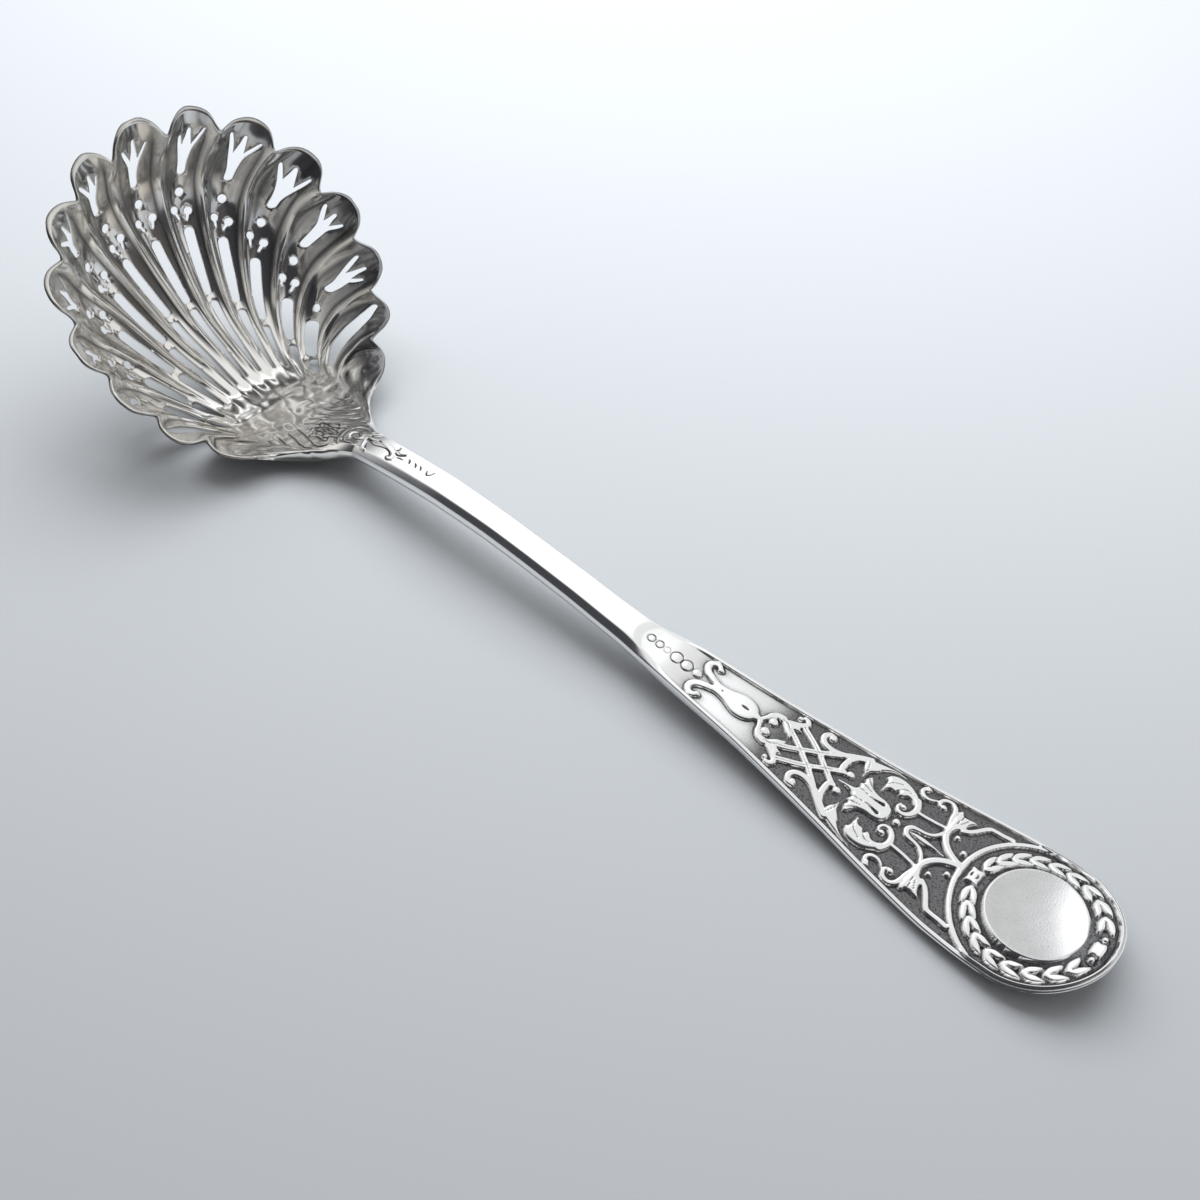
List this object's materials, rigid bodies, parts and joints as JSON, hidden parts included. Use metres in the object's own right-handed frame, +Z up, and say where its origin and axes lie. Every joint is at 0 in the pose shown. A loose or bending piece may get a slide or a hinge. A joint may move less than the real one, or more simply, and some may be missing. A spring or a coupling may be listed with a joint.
{
  "type": "sifter spoon",
  "caption": "Sugar sifter spoon: a pierced, fluted shell bowl on a bevelled arched stem with a broad relief-ornamented handle end.",
  "frame": {"origin": "middle of the length and width, at the height of the table that the spoon lies on", "axes": "+X runs from the bowl to the handle end, +Z up, and the XZ plane is the spoon's plane of symmetry"},
  "size_m": [0.1578, 0.047, 0.0378],
  "materials": {
    "bowl_silver": "polished silver, a little dulled inside, dark in the chasing at the root",
    "solder_silver": "silver solder, filed flush and polished",
    "stem_silver": "polished silver with fine wear",
    "terminal_silver": "silver, polished relief over an oxidised ground"
  },
  "bodies": {
    "root": {"bowl": "bowl_silver", "bowl_solder": "solder_silver", "stem": "stem_silver", "terminal_solder": "solder_silver", "terminal": "terminal_silver"}
  },
  "joints": []
}
